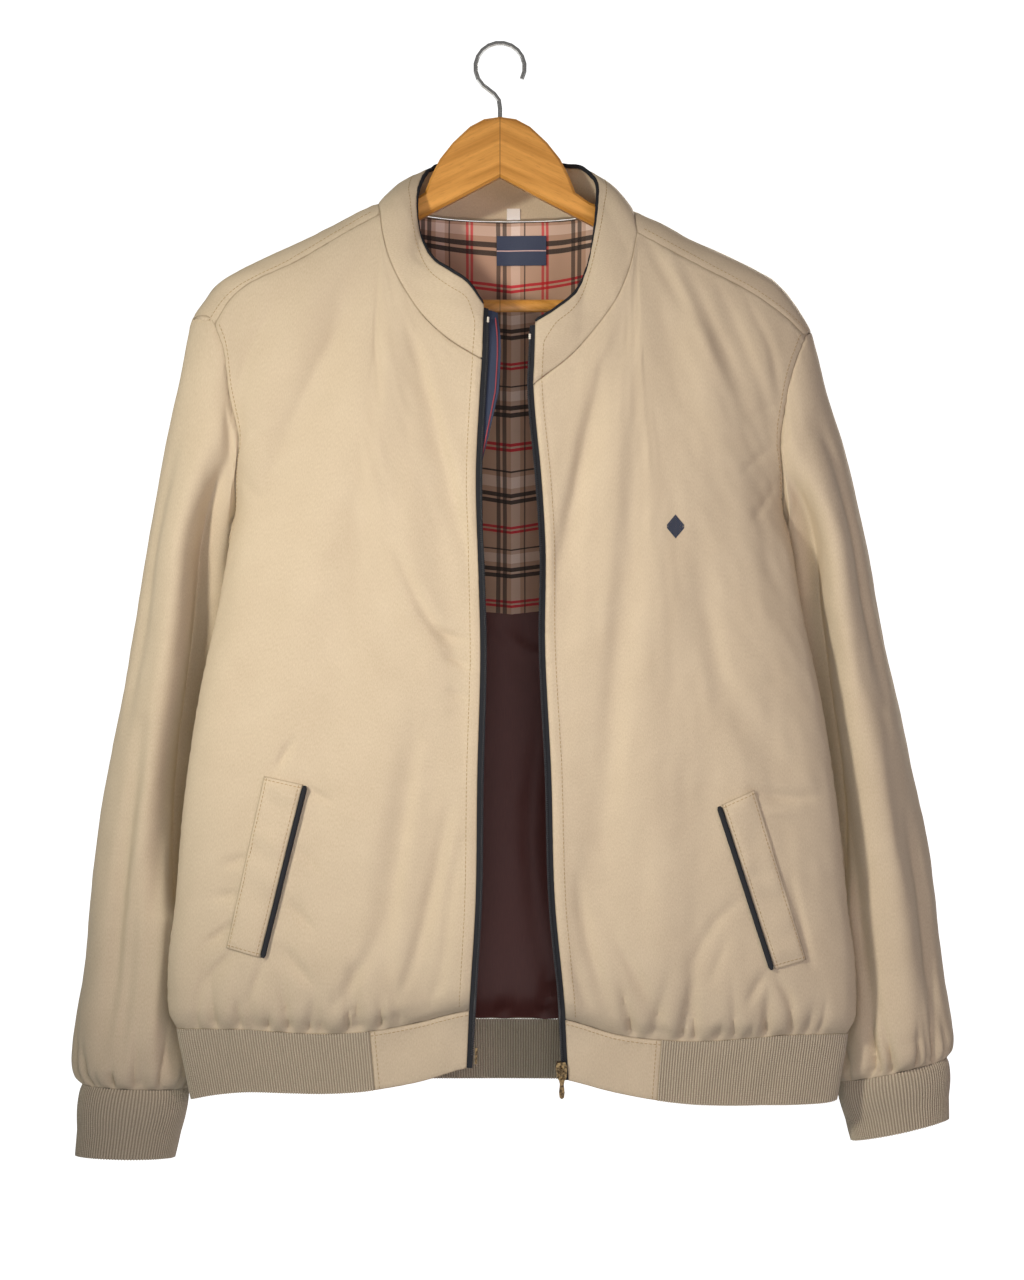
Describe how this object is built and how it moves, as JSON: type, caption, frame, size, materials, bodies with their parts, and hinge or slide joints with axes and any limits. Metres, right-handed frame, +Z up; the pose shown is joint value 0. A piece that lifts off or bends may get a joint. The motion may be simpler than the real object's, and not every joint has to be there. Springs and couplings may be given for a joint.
{
  "type": "bomber jacket on a hanger",
  "caption": "Woven men's bomber jacket with rib cuffs and hem, open coil zip, stand collar and slanted welt pockets, hanging on a flat wooden hanger with a wire hook.",
  "frame": {"origin": "the inside of the hook's top, where the rail touches it", "axes": "+Z up, the jacket's front faces -Y, the wearer's left is +X"},
  "size_m": [0.7587, 0.1698, 0.9549],
  "materials": {
    "shell_cloth": "sand cotton twill, plain",
    "rib_knit": "grey taupe rib knit",
    "navy_piping": "dark navy piping",
    "navy_tape": "dark navy woven tape",
    "aged_brass": "antique brass",
    "check_lining": null,
    "brown_lining": "dark brown lining, slight sheen",
    "woven_label": "plain navy woven label",
    "size_tag_cloth": "plain white tag",
    "hanger_wood": "clear-lacquered honey wood",
    "hook_steel": "bright wire"
  },
  "bodies": {
    "jacket_and_hanger": {"back": "shell_cloth", "front_right": "shell_cloth", "front_left": "shell_cloth", "sleeve_right": "shell_cloth", "sleeve_left": "shell_cloth", "collar": "shell_cloth", "hem_band_right": "shell_cloth", "hem_band_left": "shell_cloth", "pocket_welt_right": "shell_cloth", "pocket_welt_left": "shell_cloth", "cuff_right": "rib_knit", "cuff_left": "rib_knit", "hem_rib": "rib_knit", "collar_piping": "navy_piping", "pocket_piping_right": "navy_piping", "pocket_piping_left": "navy_piping", "zip_tape_right": "navy_tape", "zip_tape_left": "navy_tape", "zip_guard": "navy_tape", "zip_slider": "aged_brass", "zip_pin": "aged_brass", "lining_yoke": "check_lining", "lining_lower": "brown_lining", "label": "woven_label", "size_tag": "size_tag_cloth", "hanger_wood": "hanger_wood", "hanger_bar": "hanger_wood", "hanger_hook": "hook_steel"},
    "pull_tab": {"zip_pull": "aged_brass"}
  },
  "joints": [
    {"name": "pull_tab_swing", "type": "hinge", "parent": "jacket_and_hanger", "child": "pull_tab", "pos_m": [0.05171, -0.05107, -0.86793], "axis": [-1, 0, 0], "range_deg": [0, 150]}
  ]
}
